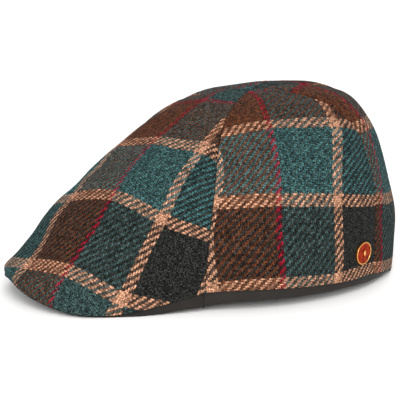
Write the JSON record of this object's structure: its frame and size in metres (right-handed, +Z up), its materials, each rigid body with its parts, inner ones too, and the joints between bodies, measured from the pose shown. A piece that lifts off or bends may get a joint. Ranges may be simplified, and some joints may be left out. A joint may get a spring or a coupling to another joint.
{
  "type": "duckbill cap",
  "caption": "soft close-fitting cap of plaid tweed whose front panel runs on over a stiff arched peak, with a dark inner band inside the open head hollow and a small round badge at the side",
  "frame": {"origin": "middle of the cap's bounding box, on the surface that it stands on", "axes": "+Z up, the peak points along -Y, +X is the wearer's left"},
  "size_m": [0.1752, 0.2692, 0.1265],
  "materials": {
    "tweed": "thick wool twill in a teal, charcoal, rust and cream plaid with a thin crimson line, slightly fuzzy",
    "peak_facing": "dark brown-black woven facing over a stiff board",
    "inner_band": "dark brown-black ribbed band with a slight sheen",
    "badge_metal": "polished warm gold-coloured metal",
    "badge_enamel": "glossy orange-red enamel"
  },
  "bodies": {
    "root": {"front_panel": "tweed", "side_panel_left": "tweed", "side_panel_right": "tweed", "back_panel_left": "tweed", "back_panel_right": "tweed", "under_peak": "peak_facing", "sweatband": "inner_band", "badge_rim": "badge_metal", "badge_enamel": "badge_enamel"}
  },
  "joints": []
}
